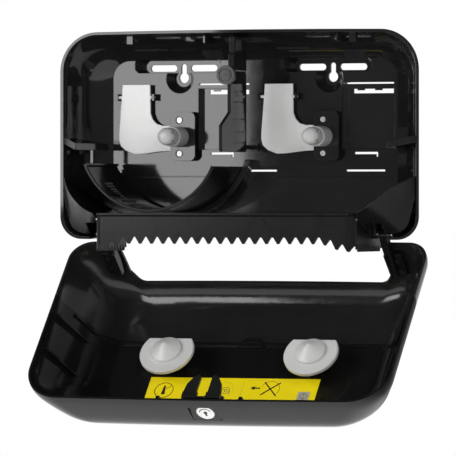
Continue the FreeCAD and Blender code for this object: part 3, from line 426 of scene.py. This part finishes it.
def lock_face():
    """Keyhole with a printed arc, and the line round the rim."""
    mesh = bmesh.new()
    prism(mesh, disc((0, 0), 1.9, 32), (192.6, 193.12))
    prism(mesh, [(-0.75, 0.0), (0.75, 0.0), (0.95, 4.4), (-0.95, 4.4)], (192.6, 193.10))
    ring(mesh, (0, 0.6), 6.3, 5.4, (192.7, 193.12), 196.0, 330.0, steps=30)
    add_piece("lock_keyhole", mesh, "ink_black", "lock", LOCK_TO_OPEN, 0.00006)
    mesh = bmesh.new()
    ring(mesh, (0, 0), 8.75, 8.35, (192.7, 193.10), steps=48)
    add_piece("lock_rim_line", mesh, "lock_ring", "lock", LOCK_TO_OPEN, 0.00005)


# ---------------------------------------------------------------- moulded marks and relief
MARK_BASE_X = 1.45
# z0, z1, y0, y1 of the frame's four sides' strokes and the short one below
FRAME_STROKES = (
    (137.0, 138.0, -66.0, -60.0), (133.6, 134.2, -66.0, -60.0),
    (133.6, 138.0, -66.0, -65.4), (133.6, 138.0, -60.6, -60.0),
    (128.0, 128.7, -64.0, -62.0),
)
# count, top x, y0, y0 stagger, y1, y1 stagger, first z, pitch down, height
TICK_RUNS = (
    (4, 1.85, -66.5, 0.0, -60.0, 1.0, 122.6, 2.0, 1.0),
    (7, 1.80, -70.0, 0.5, -56.0, 1.2, 112.4, 1.7, 0.7),
    (5, 1.80, -66.0, 0.0, -60.5, 0.9, 97.6, 2.1, 0.9),
)


def divider_marks():
    mesh = bmesh.new()
    for z0, z1, y0, y1 in FRAME_STROKES:
        block(mesh, (MARK_BASE_X, 1.82), (y0, y1), (z0, z1))
    for count, top, y0, stagger0, y1, stagger1, first_z, pitch, height in TICK_RUNS:
        for i in range(count):
            z = first_z - pitch * i
            block(mesh, (MARK_BASE_X, top),
                  (y0 + stagger0 * (i % 3), y1 - stagger1 * (i % 2)), (z, z + height))
    add_piece("divider_marks", mesh, "moulded_mark", "housing", TO_FRAME,
              0.00008)


def badge_rings():
    """Two embossed rings with six short spokes between them."""
    centre, base_y = (0, 153.2), -87.9
    mesh = bmesh.new()
    ring(mesh, centre, 7.6, 7.1, (-88.25, base_y), steps=48)
    ring(mesh, centre, 3.4, 2.9, (-88.22, base_y), steps=36)
    for angle in range(0, 360, 60):
        bar(mesh, polar(centre, 3.9, angle), polar(centre, 5.0, angle), 0.5, (-88.2, base_y))
    add_piece("badge_rings", mesh, "moulded_mark", "housing", TO_FRAME, 0.00006)


SHUTTER_CENTRE = (-72.4, 96.6)
SHUTTER_RADIUS = 69.4            # inner face
# count, first angle, pitch, rib width (degrees), y0, y0 step, y1, y1 step
RIB_RUNS = (
    (7, 219.0, 2.9, 1.6, -78.0, 1.6, -60.0, -0.8),
    (5, 243.0, 2.6, 1.4, -80.0, 0.0, -58.0, 2.0),
)


def shutter_relief():
    """Raised ribs on the shutter's inner face."""
    mesh = bmesh.new()
    for count, first, pitch, width, y0, step0, y1, step1 in RIB_RUNS:
        for i in range(count):
            angle = first + pitch * i
            ring(mesh, SHUTTER_CENTRE, SHUTTER_RADIUS + 0.1, SHUTTER_RADIUS - 0.55,
                 (y0 + step0 * i, y1 + step1 * i), angle, angle + width, steps=6)
    add_piece("shutter_relief", mesh, "shutter_print", "shutter", TO_FRAME,
              0.00012)


for build in (label_dial, label_roll, label_cross, label_panel, label_rules, lock_face,
              divider_marks, badge_rings, shutter_relief):
    build()


# ---------------------------------------------------------------- camera
def add_camera():
    data = bpy.data.cameras.new("cam")
    camera = bpy.data.objects.new("cam", data)
    scene.collection.objects.link(camera)
    camera.location = (1.78309, -4.65855, 0.03940 + ORIGIN_Z)
    camera.rotation_euler = (math.radians(90), 0, CAMERA_TURN)
    data.sensor_width = 36.0
    data.lens = 416.165526
    data.shift_y = -0.06723684
    data.clip_start = 0.05
    data.clip_end = 60.0
    scene.camera = camera
    scene.view_settings.view_transform = "Standard"
    scene.view_settings.look = "None"


add_camera()


# ---------------------------------------------------------------- light
def add_world():
    """White to the camera; for other rays, brighter behind the product and below it."""
    world = bpy.data.worlds.new("studio")
    scene.world = world
    graph = Graph(world, "OutputWorld")
    direction = graph.split(graph.node("TexCoord").outputs["Generated"])
    behind = graph.remap(direction[1], 0.15, 0.60, 0.0, 1.0)
    below = graph.remap(direction[2], 0.05, -0.50, 0.0, 1.0)
    upward_fade = graph.remap(direction[2], 0.10, 0.75, 1.0, 0.25)
    behind = graph.maths("MULTIPLY", graph.maths("MULTIPLY", behind, upward_fade), 0.45)
    rest = graph.maths("ADD", graph.maths("MULTIPLY", below, 0.45),
                       graph.maths("MULTIPLY", upward_fade, 0.16))
    strength = graph.maths("ADD", behind, rest)
    lit, seen = [graph.node("Background", {0: (1, 1, 1, 1), 1: value}).outputs[0]
                 for value in (strength, 1.0)]
    graph.camera_switch(lit, seen)


def add_area(name, location, target, width, height, radiance, diffuse=True, glossy=True):
    light = bpy.data.lights.new(name, "AREA")
    light.shape = "RECTANGLE"
    light.size = width
    light.size_y = height
    light.energy = radiance * math.pi * width * height
    light.spread = math.pi
    lamp = bpy.data.objects.new(name, light)
    scene.collection.objects.link(lamp)
    lamp.location = location
    aim = Vector(target) - Vector(location)
    lamp.rotation_euler = aim.to_track_quat("-Z", "Y").to_euler()
    lamp.visible_camera = False
    lamp.visible_diffuse = diffuse
    lamp.visible_glossy = glossy


def add_softbox():
    """Box left of the camera, mirrored in the left half of the mounting panel."""
    across, along = math.cos(CAMERA_TURN), math.sin(CAMERA_TURN)
    graze_x, graze_y = -0.006, -0.0137    # the ray mirrored here meets the box's right edge
    distance, width, z = 0.62, 0.40, 0.165 + ORIGIN_Z
    x = graze_x - along * distance - across * width / 2
    y = graze_y - across * distance + along * width / 2
    add_area("softbox_left", (x, y, z), (x + along * distance, y + across * distance, z),
             width, height=0.27, radiance=6.0, diffuse=False)


add_world()
add_softbox()
# broad fills from the front left and right, and a soft light overhead
FRONT_TARGET = (0, -0.05, -0.1)
add_area("key_left", (-2.1, -2.5, 1.15), FRONT_TARGET, width=1.4, height=1.4, radiance=6.0,
         glossy=False)
add_area("fill_right", (1.9, -2.6, 0.9), FRONT_TARGET, width=1.4, height=1.4, radiance=4.2,
         glossy=False)
add_area("top_soft", (0.25, -0.15, 1.7), (0, -0.08, -0.15), width=0.9, height=0.5,
         radiance=2.5, glossy=False)


# ---------------------------------------------------------------- stage
def stage_material():
    """Pale, faintly glowing floor that the camera sees as plain white."""
    material = bpy.data.materials.new("stage_pale")
    graph = Graph(material, "OutputMaterial")
    coords = graph.node("TexCoord").outputs["Object"]
    colour = graph.mix_colour(graph.noise(coords, 3.0), grey(0.86), grey(0.90, 0.89))
    diffuse = graph.node("BsdfDiffuse", {0: colour}).outputs[0]
    white, glow = [graph.node("Emission", {"Strength": strength}).outputs[0]
                   for strength in (1.0, 0.75)]
    glowing = graph.node("AddShader", {0: diffuse, 1: glow}).outputs[0]
    graph.camera_switch(glowing, white)
    return material


def add_floor():
    half, strip, strips = 4.0, 0.5, 16
    z = -0.34 + ORIGIN_Z
    material = stage_material()
    mesh = bmesh.new()
    rows = [[mesh.verts.new((x, -half + strip * i, z)) for x in (-half, half)]
            for i in range(strips + 1)]
    for a, b in zip(rows, rows[1:]):
        mesh.faces.new((a[0], a[1], b[1], b[0]))
    data = bpy.data.meshes.new("floor")
    mesh.to_mesh(data)
    mesh.free()
    floor = bpy.data.objects.new("floor", data)
    scene.collection.objects.link(floor)
    data.materials.append(material)
    for face in data.polygons:
        face.use_smooth = True


add_floor()
